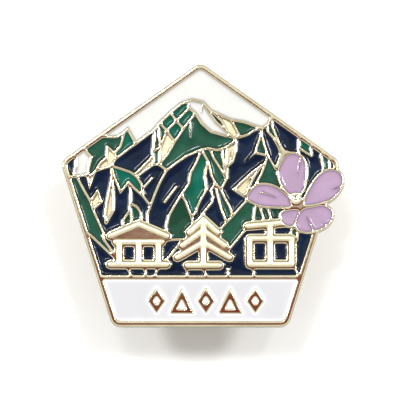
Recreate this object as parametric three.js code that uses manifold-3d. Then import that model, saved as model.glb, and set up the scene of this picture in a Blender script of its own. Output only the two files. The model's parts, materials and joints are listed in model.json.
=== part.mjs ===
// A soft-enamel souvenir pin: a die-struck, gold-plated pentagon with raised lines,
// enamel poured into its cells, two soldered posts and two butterfly clutches.
// Millimetres. The origin is the centre of the plate's back face, +Z is the face
// and +Y points to the apex.
import * as THREE from 'three'
import { mergeVertices } from 'three/addons/utils/BufferGeometryUtils.js'
import Module from 'manifold-3d'

const wasm = await Module()
wasm.setup()

// ---- driving dimensions ----
const PLATE_THICKNESS = 1.6
const RECESS_DEPTH = 0.6
const FACET_DEPTH = 0.35
const ENAMEL_DROP = 0.16
const BAND_DROP = 0.12
const FIT_GAP = 0.02
const ICON_RAISE = 0.16
const OUTER_APOTHEM = 12.0
const RIM_WIDTH = 0.58
const OUTER_CORNER = 1.05
const INNER_CORNER = 0.6
const CORNER_STEPS = 5
const ROUND_END = [-90, -45, 0, 45, 90].map(THREE.MathUtils.degToRad)
const LINE_WIDTH = 0.3
const SPUR_WIDTH = 0.24
const FLOWER_LINE = 0.28
const DIVIDER_Y = -7.1
const DIVIDER_WIDTH = 0.5
const BADGE_WIDTH = 1.05
const STROKE_WIDTH = 0.62
const STROKE_ROOT = 0.2
const BAND_STROKE = 0.56

const POST_X = 6.5
const POST_Y = 0.8
const POST_RADIUS = 0.575
const POST_LENGTH = 6.7
const POST_TIP = 1.2
const FLANGE_RADIUS = 1.75
const FLANGE_THICKNESS = 0.3
const CLUTCH_RADIUS = 5.5
const CLUTCH_TOP = -0.34
const CLUTCH_SHEET = 0.32
const CLUTCH_HOLE = 0.78
const BARREL_RADIUS = 2.95
const BARREL_DEPTH = 3.5
const WING_WIDTH = 3.2
const SLOT_WIDTH = 3.7
const WING_SHEET = 0.3
const JAW_GAP = 0.05
const ROUND_SIDES = 28

const FACE_Z = PLATE_THICKNESS
const FLOOR_Z = PLATE_THICKNESS - RECESS_DEPTH

// ---- finishes ----
const finish = (color, roughness, metalness) => ({ color, roughness, metalness })
const GOLD = finish('#d9b46a', 0.18, 1)
const BRASS = finish('#c9a24f', 0.28, 1)
const NAVY = finish('#16284a', 0.12, 0)
const DEEP_GREEN = finish('#2a6350', 0.12, 0)
const SHADE_GREEN = finish('#1f4a38', 0.12, 0)
const TEAL = finish('#0f7360', 0.12, 0)
const LILAC = finish('#b296c3', 0.12, 0)
const WHITE = finish('#f4f3f6', 0.14, 0)
const BAND_WHITE = finish('#e1dee8', 0.14, 0)

// ---- solids ----
function toManifold(geometry) {
  const plain = geometry.clone()
  plain.deleteAttribute('normal')
  plain.deleteAttribute('uv')
  const merged = mergeVertices(plain, 1e-5)
  return new wasm.Manifold(new wasm.Mesh({
    numProp: 3,
    vertProperties: new Float32Array(merged.attributes.position.array),
    triVerts: new Uint32Array(merged.index.array),
  }))
}

function toGeometry(solid) {
  const mesh = solid.getMesh()
  const geometry = new THREE.BufferGeometry()
  geometry.setAttribute('position', new THREE.BufferAttribute(mesh.vertProperties, 3))
  geometry.setIndex(new THREE.BufferAttribute(mesh.triVerts, 1))
  geometry.computeVertexNormals()
  return geometry
}

function prism(points, bottom, top) {
  const shape = new THREE.Shape(points.map(([x, y]) => new THREE.Vector2(x, y)))
  const geometry = new THREE.ExtrudeGeometry(shape, { depth: top - bottom, bevelEnabled: false })
  geometry.translate(0, 0, bottom)
  return toManifold(geometry)
}

function joinAll(solids) {
  let layer = solids
  while (layer.length > 1) {
    const next = []
    for (let i = 0; i < layer.length; i += 2) {
      next.push(i + 1 < layer.length ? layer[i].add(layer[i + 1]) : layer[i])
    }
    layer = next
  }
  return layer[0]
}

// The closed pieces that a cut solid falls into, each with its own triangles.
function separatePieces(solid) {
  const mesh = solid.getMesh()
  const { vertProperties, triVerts } = mesh
  const parent = Array.from({ length: vertProperties.length / 3 }, (_, i) => i)
  const find = (i) => {
    while (parent[i] !== i) {
      parent[i] = parent[parent[i]]
      i = parent[i]
    }
    return i
  }
  for (let t = 0; t < triVerts.length; t += 3) {
    parent[find(triVerts[t + 1])] = find(triVerts[t])
    parent[find(triVerts[t + 2])] = find(triVerts[t])
  }
  const triangles = new Map()
  for (let t = 0; t < triVerts.length; t += 3) {
    const root = find(triVerts[t])
    if (!triangles.has(root)) triangles.set(root, [])
    triangles.get(root).push(triVerts[t], triVerts[t + 1], triVerts[t + 2])
  }
  return [...triangles.values()].map((indices) => {
    const geometry = new THREE.BufferGeometry()
    geometry.setAttribute('position', new THREE.BufferAttribute(vertProperties, 3))
    geometry.setIndex(indices)
    return toManifold(geometry.toNonIndexed())
  })
}

// ---- outlines ----
// A regular pentagon, apex up, with each corner rounded by an arc.
function pentagon(apothem, cornerRadius) {
  const fifth = (2 * Math.PI) / 5
  const reach = (apothem - cornerRadius) / Math.cos(fifth / 2)
  const points = []
  for (let corner = 0; corner < 5; corner += 1) {
    const heading = Math.PI / 2 + corner * fifth
    for (let step = 0; step <= CORNER_STEPS; step += 1) {
      const turn = heading + fifth * (step / CORNER_STEPS - 0.5)
      points.push([
        reach * Math.cos(heading) + cornerRadius * Math.cos(turn),
        reach * Math.sin(heading) + cornerRadius * Math.sin(turn),
      ])
    }
  }
  return points
}

// The outline of a line of even width along a path, mitred at its bends.
function strip(path, width) {
  const left = []
  const right = []
  for (let i = 0; i < path.length; i += 1) {
    const here = new THREE.Vector2(...path[i])
    const before = i > 0 ? here.clone().sub(new THREE.Vector2(...path[i - 1])).normalize() : null
    const after = i < path.length - 1
      ? new THREE.Vector2(...path[i + 1]).sub(here).normalize()
      : null
    const along = (before ?? after).clone().add(after ?? before).normalize()
    const normal = new THREE.Vector2(-along.y, along.x)
    const lean = Math.max(0.55, along.dot(after ?? before))
    const reach = width / 2 / lean
    const end = before && after ? 0 : (before ? 1 : -1) * width * 0.3
    const centre = here.clone().addScaledVector(along, end)
    left.push([centre.x + normal.x * reach, centre.y + normal.y * reach])
    right.push([centre.x - normal.x * reach, centre.y - normal.y * reach])
  }
  return [...right, ...left.reverse()]
}

// The same line with rounded ends, for the badges' strokes.
function roundedStrip(path, width) {
  const half = width / 2
  const cap = (tip, inner) => {
    const heading = Math.atan2(tip[1] - inner[1], tip[0] - inner[0])
    return ROUND_END.map((turn) => [
      tip[0] + half * Math.cos(heading + turn),
      tip[1] + half * Math.sin(heading + turn),
    ])
  }
  const sides = strip(path, width)
  const bends = path.length - 2
  const right = sides.slice(1, 1 + bends)
  const left = sides.slice(sides.length - 1 - bends, sides.length - 1)
  return [
    ...cap(path[0], path[1]),
    ...right,
    ...cap(path[path.length - 1], path[path.length - 2]),
    ...left,
  ]
}

// A spur that tapers from its root to a point inside the enamel.
function spike(root, tip, width) {
  const along = new THREE.Vector2(tip[0] - root[0], tip[1] - root[1]).normalize()
  const side = [-along.y * width / 2, along.x * width / 2]
  return [
    [root[0] - side[0], root[1] - side[1]],
    tip,
    [root[0] + side[0], root[1] + side[1]],
  ]
}

// An outline moved inwards by a small distance, corner by corner.
function inset(points, distance) {
  const area = THREE.ShapeUtils.area(points.map(([x, y]) => new THREE.Vector2(x, y)))
  const ring = area > 0 ? points : [...points].reverse()
  return ring.map((point, i) => {
    const here = new THREE.Vector2(...point)
    const before = new THREE.Vector2(...ring[(i + ring.length - 1) % ring.length])
    const after = new THREE.Vector2(...ring[(i + 1) % ring.length])
    const into = here.clone().sub(before).normalize()
    const out = after.sub(here).normalize()
    const along = into.clone().add(out).normalize()
    const reach = distance / Math.max(0.4, along.dot(out))
    return [here.x - along.y * reach, here.y + along.x * reach]
  })
}

// A smooth closed outline through a few points, for the petals.
function smoothLoop(points, stepsPerPoint) {
  const curve = new THREE.CatmullRomCurve3(
    points.map(([x, y]) => new THREE.Vector3(x, y, 0)), true, 'centripetal')
  return curve.getPoints(points.length * stepsPerPoint).slice(0, -1).map((p) => [p.x, p.y])
}

// ---- the raised lines of the mountain scene ----
const RIDGE_LINES = [
  // skyline from the left rim over the small peak and the summit to the right rim
  [[-10.2, 7.2], [-9.3, 7.1], [-8.4, 7.1], [-7.67, 7.56], [-7.33, 7.9], [-6.5, 6.4],
    [-5.2, 7.4], [-4.67, 7.78], [-4.0, 8.6], [-3.0, 9.6], [-1.95, 10.5], [-0.85, 10.9],
    [0.25, 10.65], [1.0, 9.8], [2.3, 9.2], [3.05, 8.85], [4.5, 8.6], [5.5, 8.2],
    [6.2, 8.0], [6.8, 8.3], [7.2, 9.2]],
  // the summit's snow and its ladder of fields
  [[-1.3, 10.75], [-1.15, 10.05], [-2.42, 8.75], [-3.4, 7.75], [-4.0, 6.1], [-4.15, 4.3]],
  [[-1.15, 10.05], [-0.5, 9.5], [-1.33, 8.5], [-2.6, 6.6], [-3.28, 5.35], [-4.15, 4.3]],
  [[-2.42, 8.75], [-3.02, 9.6]],
  [[-3.4, 7.75], [-4.05, 8.5]],
  [[-1.72, 7.95], [-2.42, 8.75]],
  [[-2.6, 6.6], [-3.4, 7.75]],
  [[-0.5, 9.5], [0.1, 8.5], [1.06, 7.62], [2.06, 7.35], [3.3, 7.05]],
  [[0.25, 10.6], [0.95, 9.5], [1.6, 8.6], [2.5, 7.8], [3.3, 7.05], [3.55, 6.7]],
  [[1.15, 9.7], [2.15, 8.75], [2.75, 7.6]],
  [[3.1, 8.8], [3.6, 7.9], [3.98, 7.08]],
  [[3.3, 7.05], [3.98, 7.08], [4.8, 7.35], [5.35, 7.75], [6.2, 8.0]],
  // under the big green face
  [[3.55, 6.7], [2.5, 6.0], [1.67, 5.75], [0.8, 5.95], [0.1, 5.8], [-1.33, 5.2],
    [-2.44, 4.45], [-3.4, 3.7], [-4.15, 4.3]],
  [[-4.67, 7.78], [-4.65, 6.8], [-4.8, 5.6], [-4.72, 4.3]],
  [[-4.3, 8.2], [-4.15, 6.9], [-4.0, 6.1], [-4.8, 5.6]],
  [[-4.8, 5.1], [-6.65, 3.2]],
  // left peak
  [[-6.5, 6.4], [-7.28, 5.85], [-7.83, 5.4], [-8.5, 4.9], [-8.95, 4.15], [-7.83, 3.8],
    [-7.0, 3.5], [-6.4, 3.05], [-5.6, 3.65], [-4.72, 4.3], [-4.15, 4.3]],
  [[-7.67, 7.56], [-7.85, 6.8], [-8.1, 6.05], [-8.65, 5.45], [-9.35, 6.1], [-9.42, 5.0],
    [-10.05, 4.45], [-10.5, 3.65], [-11.0, 3.15]],
  [[-8.65, 5.45], [-8.45, 4.9]],
  [[-10.5, 3.65], [-8.95, 4.15]],
  [[-11.9, 6.1], [-10.95, 5.05], [-11.35, 3.25]],
  [[-12.5, 5.7], [-12.5, 4.1], [-12.75, 3.05]],
  [[-13.4, 3.0], [-12.4, 3.08], [-11.35, 3.25], [-11.0, 3.15]],
  [[-11.4, 3.2], [-11.1, 1.95], [-10.62, 3.5]],
  [[-12.4, 3.08], [-11.83, 1.95], [-11.0, 0.55], [-10.75, -0.25], [-10.05, -1.8], [-9.68, -2.6],
    [-9.72, -3.2], [-8.35, -5.1]],
  [[-11.0, 0.55], [-10.3, 1.65], [-9.9, 0.5], [-10.75, -0.25]],
  [[-8.95, 4.15], [-8.85, 3.0], [-9.1, 1.7], [-9.35, 0.4], [-9.55, -1.0], [-9.45, -1.7]],
  [[-9.45, -1.7], [-8.7, -0.4], [-8.72, 0.6], [-8.85, 3.0]],
  [[-11.6, -2.4], [-10.95, -2.88], [-8.5, -5.2]],
  [[-8.85, 3.7], [-8.5, 2.7], [-8.0, 1.5], [-7.2, 2.5], [-6.6, 1.85], [-5.75, 1.1],
    [-5.0, 0.1]],
  [[-6.4, 3.05], [-5.9, 2.3], [-5.75, 1.1]],
  [[-7.2, 2.5], [-7.0, 1.5], [-7.0, 0.35], [-7.1, -0.4], [-7.7, -1.3], [-7.75, -2.0]],
  [[-7.05, -0.1], [-6.85, -1.8]],
  [[-7.0, 0.35], [-6.35, 0.0], [-6.0, -0.55], [-5.9, -1.6]],
  [[-4.85, 2.95], [-5.72, 1.9]],
  [[-2.4, 2.05], [-3.6, 0.45]],
  [[-3.4, 3.7], [-4.1, 2.4], [-4.6, 1.2], [-5.0, 0.1], [-5.25, -0.6], [-5.3, -1.8]],
  // centre
  [[0.1, 5.8], [-0.4, 4.5], [-0.95, 3.5], [-1.15, 2.4], [-1.9, 1.25], [-2.5, 0.3],
    [-3.1, -0.8], [-3.4, -2.0], [-3.45, -3.4], [-4.4, -4.4]],
  [[-1.9, 1.25], [-1.5, 0.6], [-1.2, -0.2], [-0.9, -1.0], [-0.7, -1.9]],
  [[0.1, 5.8], [0.78, 4.6], [0.6, 3.9], [0.45, 2.9], [0.5, 2.2], [0.6, 1.7], [0.0, 0.7],
    [-0.3, 0.0], [-0.42, -0.5], [-0.9, -1.0]],
  [[0.78, 4.6], [1.1, 3.2], [1.5, 2.4], [1.02, 1.6], [1.25, 1.0], [1.2, 0.5], [0.2, -0.7]],
  [[0.95, 5.9], [1.3, 5.0], [2.0, 3.9], [2.62, 2.8], [2.05, 1.75], [1.5, 2.4]],
  [[1.5, 2.4], [1.6, 1.6], [1.85, 0.6], [2.1, -0.3], [2.6, -1.5]],
  [[2.15, 5.85], [2.25, 4.9], [2.62, 2.8]],
  [[2.6, 6.05], [2.65, 4.05], [2.62, 2.8]],
  [[3.55, 6.7], [3.5, 5.5], [3.25, 4.6], [2.65, 4.05]],
  [[2.05, 1.75], [2.5, 0.8], [2.95, 0.0], [3.2, -0.95]],
  [[5.2, 1.4], [4.6, 0.6], [3.9, -0.15], [3.2, -0.95], [2.4, -1.8], [1.9, -2.35]],
  [[4.95, 1.8], [4.35, 1.05], [3.35, 1.75], [4.0, 2.4], [5.1, 3.4], [6.15, 4.2]],
  [[6.15, 4.2], [5.4, 3.1], [4.75, 1.75]],
  [[5.6, 2.4], [6.1, 3.3], [6.5, 4.35], [6.78, 5.2], [7.55, 3.85]],
  [[6.15, 4.2], [6.5, 4.35]],
  [[6.2, 8.0], [6.1, 7.3], [5.75, 6.3], [5.5, 5.5], [6.78, 5.2]],
  [[6.1, 7.5], [6.45, 6.2], [6.78, 5.2]],
  [[6.7, 8.2], [6.75, 7.7], [7.35, 7.0], [7.85, 6.1], [8.1, 5.3], [7.55, 3.85]],
  [[7.15, 8.9], [7.25, 8.1], [7.65, 7.1], [8.0, 6.3], [8.4, 5.65], [9.3, 5.4]],
  // right corner
  [[9.95, 7.6], [9.9, 6.0], [9.8, 5.0]],
  [[9.9, 6.0], [11.1, 5.2], [11.1, 6.8]],
  [[12.25, 6.0], [12.1, 5.0], [12.35, 3.5]],
  [[12.95, 5.5], [12.95, 3.5]],
  // the strip between the scene and the badges
  [[5.5, 0.0], [5.3, -1.5]],
  [[5.95, -0.1], [6.35, -1.3]],
  [[6.7, -0.1], [7.1, -1.3]],
  [[9.35, -1.9], [8.75, -3.1]],
  [[9.75, -2.4], [9.65, -3.4]],
  [[4.5, -2.3], [3.5, -3.5], [2.4, -4.85]],
  [[-3.45, -3.4], [-2.4, -3.3], [-1.7, -3.3]],
  [[-2.0, -3.6], [-3.0, -4.9], [-3.5, -5.4]],
  [[-1.45, -5.9], [-1.3, -7.0]],
  [[0.2, -6.2], [0.7, -7.0]],
  [[2.75, -6.2], [2.75, -7.0]],
  [[5.2, -6.2], [5.35, -7.0]],
  [[-7.35, -6.0], [-6.85, -7.0]],
  [[-5.65, -6.0], [-5.4, -7.0]],
  [[-4.1, -6.0], [-4.6, -7.0]],
  [[9.15, -4.2], [9.1, -5.0], [9.3, -6.0], [9.85, -7.0]],
]

const SPURS = [
  [[-1.05, 8.9], [-1.0, 6.9]],
  [[0.28, 10.5], [0.12, 9.55]],
  [[5.5, 5.5], [4.5, 4.5]],
  [[2.95, 4.3], [3.1, 5.9]],
  [[-9.4, 5.0], [-9.3, 4.3]],
  [[6.0, 3.95], [4.6, 2.4]],
]

// ---- the flower over the right-hand corner: five petals and a small heart ----
const PETALS = {
  petal_top: [[9.35, 5.35], [8.75, 5.15], [8.3, 4.6], [7.95, 3.85], [7.9, 3.2], [8.1, 2.5],
    [8.5, 1.75], [9.1, 1.3], [9.9, 1.35], [10.35, 2.0], [10.5, 3.1], [10.45, 4.2],
    [10.2, 4.95]],
  petal_right: [[10.45, 0.25], [10.8, 1.4], [11.25, 2.2], [11.7, 2.85], [12.3, 3.4],
    [13.0, 3.65], [13.75, 3.55], [14.15, 3.0], [14.15, 2.15], [13.7, 1.4], [12.9, 0.75],
    [11.6, 0.35]],
  petal_left: [[4.75, 0.85], [5.1, 1.6], [5.7, 2.1], [6.4, 2.2], [7.2, 2.05], [7.95, 1.65],
    [8.7, 1.0], [9.1, 0.5], [9.0, 0.1], [8.2, 0.05], [7.0, 0.1], [6.0, 0.2], [5.3, 0.5]],
  petal_foot: [[8.15, -0.7], [8.6, -0.48], [9.5, -0.35], [9.85, -0.45], [9.65, -0.95],
    [9.4, -1.5], [9.15, -1.9], [8.3, -1.7], [8.15, -1.2]],
  petal_low: [[10.2, -0.32], [11.0, -0.15], [12.0, 0.05], [12.6, -0.05], [13.05, -0.4],
    [13.15, -0.9], [12.95, -1.45], [12.4, -1.95], [11.6, -2.3], [10.9, -2.5], [10.3, -2.45],
    [9.8, -2.25], [9.55, -1.85], [9.75, -1.1]],
}
const PETAL_SPURS = [
  [[10.1, 5.3], [9.82, 3.5]],
  [[14.4, 2.15], [13.3, 1.8]],
  [[6.0, 1.5], [7.6, 0.95]],
  [[11.4, -2.6], [10.6, -1.0]],
  [[12.9, -2.2], [12.3, -1.6]],
]
const FLOWER_HEART = { x: 9.55, y: 0.75, radius: 0.72 }
const STAMEN = [[9.7, 0.5], [10.15, -0.35]]
const SMOOTH_STEPS = 2

// ---- generic badges in place of lettering: a hut, a fir tree and a cable cabin ----
const HUT = [
  [[-9.0, -2.95], [-6.15, -1.75], [-3.35, -2.95]],
  [[-8.45, -3.55], [-3.85, -3.55]],
  [[-8.1, -3.55], [-8.1, -5.8]],
  [[-6.15, -3.55], [-6.15, -5.8]],
  [[-4.2, -3.55], [-4.2, -5.8]],
  [[-9.0, -5.8], [-3.35, -5.8]],
]
const FIR = [
  [[0.3, -1.3], [0.3, -5.9]],
  [[-1.1, -2.6], [0.3, -1.3], [1.7, -2.6]],
  [[-1.8, -3.9], [0.3, -2.4], [2.4, -3.9]],
  [[-2.3, -5.1], [0.3, -3.6], [2.9, -5.1]],
  [[-1.3, -5.9], [1.9, -5.9]],
]
const CABLE_CABIN = [
  [[4.7, -1.95], [8.4, -1.6]],
  [[6.95, -1.75], [6.95, -3.2]],
  [[4.9, -3.2], [9.1, -3.2]],
  [[4.9, -3.2], [4.9, -5.8]],
  [[9.1, -3.2], [9.1, -5.8]],
  [[6.95, -3.2], [6.95, -5.8]],
  [[4.9, -5.8], [9.1, -5.8]],
]
const BADGES = [...HUT, ...FIR, ...CABLE_CABIN]

// ---- the row of lozenges and peaks on the white band ----
const BAND_TOP = -8.05
const BAND_FOOT = -10.75
const BAND_MIDDLE = (BAND_TOP + BAND_FOOT) / 2
function lozenge(x, halfWidth) {
  return [[x, BAND_TOP], [x - halfWidth, BAND_MIDDLE], [x, BAND_FOOT], [x + halfWidth, BAND_MIDDLE]]
}
function peak(x, halfWidth) {
  return [[x, BAND_TOP], [x - halfWidth, BAND_FOOT], [x + halfWidth, BAND_FOOT]]
}
const BAND_ORNAMENTS = [
  lozenge(-4.35, 0.95), peak(-1.85, 1.3), lozenge(0.55, 0.95), peak(2.95, 1.3), lozenge(5.45, 0.95),
]

// ---- enamel cells: a name, a colour and a place inside the cell ----
const CELLS = [
  ['sky', WHITE, 0, 12.4],
  ['summit_snow', WHITE, 0.6, 9.0],
  ['ladder_1', TEAL, -2.0, 9.7],
  ['ladder_2', TEAL, -3.2, 8.6],
  ['ladder_3', TEAL, -1.4, 9.0],
  ['ladder_4', TEAL, -2.6, 7.7],
  ['ladder_5', DEEP_GREEN, -3.9, 7.6],
  ['great_face', DEEP_GREEN, -0.2, 7.2],
  ['gully_1', SHADE_GREEN, -4.4, 7.0],
  ['gully_2', DEEP_GREEN, -4.4, 5.2],
  ['east_face', DEEP_GREEN, 4.3, 8.1],
  ['north_wall', NAVY, -5.6, 5.4],
  ['small_peak', TEAL, -7.6, 6.3],
  ['west_face', DEEP_GREEN, -10.2, 5.9],
  ['west_snow', WHITE, -11.7, 4.4],
  ['west_corner', NAVY, -12.9, 4.1],
  ['west_ridge', NAVY, -9.8, 2.2],
  ['west_strip', DEEP_GREEN, -11.5, 0.4],
  ['leaf_west', TEAL, -7.8, 3.0],
  ['sapling_1', SHADE_GREEN, -7.2, -0.9],
  ['sapling_2', DEEP_GREEN, -6.5, -0.6],
  ['hollow_west', NAVY, -6.3, 0.9],
  ['arrow_west', NAVY, -4.9, 2.6],
  ['great_hollow', NAVY, -2.6, 2.6],
  ['fold_centre', SHADE_GREEN, -2.3, -0.6],
  ['leaf_centre', TEAL, -0.4, 2.0],
  ['sliver_centre', NAVY, 0.7, 0.8],
  ['foot_centre', NAVY, 1.45, -0.4],
  ['blade_centre', DEEP_GREEN, 1.4, 3.8],
  ['blade_small', DEEP_GREEN, 1.7, 5.2],
  ['stem_centre', DEEP_GREEN, 2.3, 0.2],
  ['great_wall', NAVY, 4.4, 6.2],
  ['arrow_east', DEEP_GREEN, 6.1, 6.0],
  ['spur_east', DEEP_GREEN, 7.0, 3.4],
  ['slab_east', NAVY, 7.2, 5.8],
  ['sliver_east', DEEP_GREEN, 7.1, 7.8],
  ['wall_east', NAVY, 8.9, 6.6],
  ['field_east', TEAL, 10.5, 6.3],
  ['corner_east', NAVY, 11.4, 4.4],
  ['edge_east', DEEP_GREEN, 12.55, 4.4],
  ['valley_east', DEEP_GREEN, 3.6, -1.8],
  ['strip_east', NAVY, 10.2, -4.4],
  ['strip_south', NAVY, 3.9, -5.2],
  ['strip_middle', NAVY, -2.0, -6.4],
  ['strip_west', NAVY, -9.7, -5.6],
  ['band', BAND_WHITE, -7.0, -9.0],
]

// Facets that stay bare metal, and slivers with a little enamel of their own that is
// too thin to be a piece by itself: both are only recesses in the plate.
const FACETS = [
  [-9.05, 0.2], [-9.2, 4.7], [-11.1, 2.8], [-10.4, 0.7], [-3.4, 6.2], [-5.3, 4.3], [3.0, 8.0],
  [3.05, 5.6], [4.4, 2.2],
]
const SLIVERS = [
  [-7.15, -4.67], [-5.17, -4.67], [-6.27, -6.6], [-4.95, -6.6], [-0.45, -6.6], [7.4, -6.6],
  [5.93, -4.5], [8.0, -4.5], [5.8, -0.8], [6.5, -0.7], [7.5, -0.6], [9.4, -2.5], [2.43, 5.3],
  [1.76, 8.8], [8.2, -2.4], [13.16, 4.1], [5.6, 3.0], [-3.1, -4.2],
  [-4.35, -9.4], [-1.85, -9.9], [0.55, -9.4], [2.95, -9.9], [5.45, -9.4],
]

// ---- the plate and its cells ----
function buildFace() {
  const body = prism(pentagon(OUTER_APOTHEM, OUTER_CORNER), 0, FACE_Z)
  const window = prism(pentagon(OUTER_APOTHEM - RIM_WIDTH, INNER_CORNER), FLOOR_Z, FACE_Z + 1)
  const fullHeight = (points) => prism(points, FLOOR_Z - 1, FACE_Z + 1)
  const petalLoops = Object.fromEntries(
    Object.entries(PETALS).map(([name, points]) => [name, smoothLoop(points, SMOOTH_STEPS)]))
  const heart = []
  for (let i = 0; i < 12; i += 1) {
    const turn = (i / 12) * 2 * Math.PI
    heart.push([
      FLOWER_HEART.x + FLOWER_HEART.radius * Math.cos(turn),
      FLOWER_HEART.y + FLOWER_HEART.radius * Math.sin(turn),
    ])
  }
  const flowerPoints = Object.values(petalLoops).map((loop) => inset(loop, -FLOWER_LINE))
  const flowerHeart = fullHeight(heart).add(fullHeight(strip(STAMEN, LINE_WIDTH)))
  const flower = joinAll(flowerPoints.map(fullHeight)).add(flowerHeart)
  const badges = joinAll(BADGES.map((path) => fullHeight(roundedStrip(path, BADGE_WIDTH))))
  const divider = fullHeight(strip([[-11, DIVIDER_Y], [11, DIVIDER_Y]], DIVIDER_WIDTH))
  const ridges = joinAll(RIDGE_LINES.map((path) => fullHeight(strip(path, LINE_WIDTH))))
  const spurs = joinAll(SPURS.map(([root, tip]) => fullHeight(spike(root, tip, SPUR_WIDTH))))
  const ornaments = joinAll(BAND_ORNAMENTS.map((outline) =>
    fullHeight(outline).subtract(fullHeight(inset(outline, BAND_STROKE)))))
  const metal = joinAll([flower, badges, divider, ridges, spurs, ornaments])
  const pieces = separatePieces(window.subtract(metal))

  const cellAt = (x, y) => {
    const probe = prism([[x - 0.02, y - 0.02], [x + 0.02, y - 0.02], [x, y + 0.02]],
      FLOOR_Z, FACE_Z)
    return pieces.find((piece) => piece.intersect(probe).volume() > 0)
  }
  const recesses = CELLS.map(([name, colour, x, y]) => {
    const recess = cellAt(x, y)
    if (!recess) throw new Error(`no cell at ${name}`)
    return { name, colour, recess }
  })
  const aboveFacets = prism(pentagon(OUTER_APOTHEM, OUTER_CORNER), FACE_Z - FACET_DEPTH, FACE_Z + 1)
  const facets = FACETS.map(([x, y]) => cellAt(x, y).intersect(aboveFacets))
  const slivers = SLIVERS.map(([x, y]) => cellAt(x, y))
  const petalSpurs = joinAll(PETAL_SPURS.map(([root, tip]) =>
    fullHeight(spike(root, tip, SPUR_WIDTH))))
  for (const [name, loop] of Object.entries(petalLoops)) {
    const recess = prism(loop, FLOOR_Z, FACE_Z + 1).subtract(flowerHeart).subtract(petalSpurs)
    recesses.push({ name, colour: LILAC, recess })
  }

  const flowerBase = joinAll(flowerPoints.map((points) => prism(points, 0, FACE_Z)))
  let plate = body.add(flowerBase)
  for (const { recess } of recesses) plate = plate.subtract(recess)
  for (const hollow of [...facets, ...slivers]) plate = plate.subtract(hollow)
  const strokes = joinAll(BADGES.map((path) =>
    prism(roundedStrip(path, STROKE_WIDTH), FACE_Z - STROKE_ROOT, FACE_Z + ICON_RAISE)))
  return { plate: plate.add(strokes), recesses }
}

// Enamel fills its recess but for a hair's breadth at the walls: it is what the recess
// has in common with copies of itself moved a little way to every side. Where that
// pinches off the tip of a sharp corner, the tip stays empty.
function enamelFill(recess, drop) {
  const surface = FACE_Z - drop
  const room = prism([[-20, -20], [20, -20], [20, 20], [-20, 20]], FLOOR_Z + FIT_GAP, surface)
  let fill = recess
  for (let i = 0; i < 4; i += 1) {
    const turn = Math.PI / 4 + (i * Math.PI) / 2
    fill = fill.intersect(recess.translate([
      Math.SQRT2 * FIT_GAP * Math.cos(turn), Math.SQRT2 * FIT_GAP * Math.sin(turn), 0]))
  }
  const pours = separatePieces(fill.intersect(room))
  return pours.reduce((most, pour) => (pour.volume() > most.volume() ? pour : most))
}

// ---- posts and clutches ----
function buildPost() {
  const profile = [
    [0, 0], [FLANGE_RADIUS, 0], [FLANGE_RADIUS, -FLANGE_THICKNESS * 0.5],
    [FLANGE_RADIUS * 0.75, -FLANGE_THICKNESS], [POST_RADIUS, -FLANGE_THICKNESS],
    [POST_RADIUS, -POST_LENGTH + POST_TIP + 0.5], [POST_RADIUS * 0.72, -POST_LENGTH + POST_TIP + 0.3],
    [POST_RADIUS * 0.72, -POST_LENGTH + POST_TIP + 0.1], [POST_RADIUS, -POST_LENGTH + POST_TIP],
    [0, -POST_LENGTH],
  ]
  const points = profile.map(([r, z]) => new THREE.Vector2(r, z)).reverse()
  const geometry = new THREE.LatheGeometry(points, 16)
  geometry.rotateX(Math.PI / 2)
  return toManifold(geometry)
}

function buildClutchShell() {
  const sheet = CLUTCH_SHEET
  const top = CLUTCH_TOP
  const inner = BARREL_RADIUS - sheet
  const foot = top - sheet - BARREL_DEPTH
  const profile = [
    [CLUTCH_HOLE, foot], [BARREL_RADIUS - 0.4, foot], [BARREL_RADIUS, foot + 0.4],
    [BARREL_RADIUS, top - sheet], [CLUTCH_RADIUS - 0.6, top - sheet],
    [CLUTCH_RADIUS - 0.3, top - sheet - 0.5], [CLUTCH_RADIUS, top - sheet - 0.4],
    [CLUTCH_RADIUS - 0.1, top - 0.2], [CLUTCH_RADIUS - 0.4, top], [2.2, top],
    [1.5, top - 0.1], [CLUTCH_HOLE, top - 0.1], [CLUTCH_HOLE, top - sheet - 0.1],
    [1.5, top - sheet - 0.1], [inner, top - sheet - 0.1], [inner, foot + sheet],
    [CLUTCH_HOLE, foot + sheet],
  ]
  const points = profile.map(([r, z]) => new THREE.Vector2(r, z))
  points.push(points[0].clone())
  const geometry = new THREE.LatheGeometry(points, ROUND_SIDES)
  geometry.rotateX(Math.PI / 2)
  const slot = new THREE.BoxGeometry(SLOT_WIDTH, 2 * CLUTCH_RADIUS + 2, BARREL_DEPTH - 0.35)
  slot.translate(0, 0, top - sheet - 0.16 - (BARREL_DEPTH - 0.35) / 2)
  const rim = new THREE.LatheGeometry([
    new THREE.Vector2(BARREL_RADIUS + 0.9, foot - 1),
    new THREE.Vector2(CLUTCH_RADIUS + 2, foot - 1),
    new THREE.Vector2(CLUTCH_RADIUS + 2, top + 1),
    new THREE.Vector2(BARREL_RADIUS + 0.9, top + 1),
    new THREE.Vector2(BARREL_RADIUS + 0.9, foot - 1),
  ], ROUND_SIDES)
  rim.rotateX(Math.PI / 2)
  return toManifold(geometry).subtract(toManifold(slot).subtract(toManifold(rim)))
}

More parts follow.
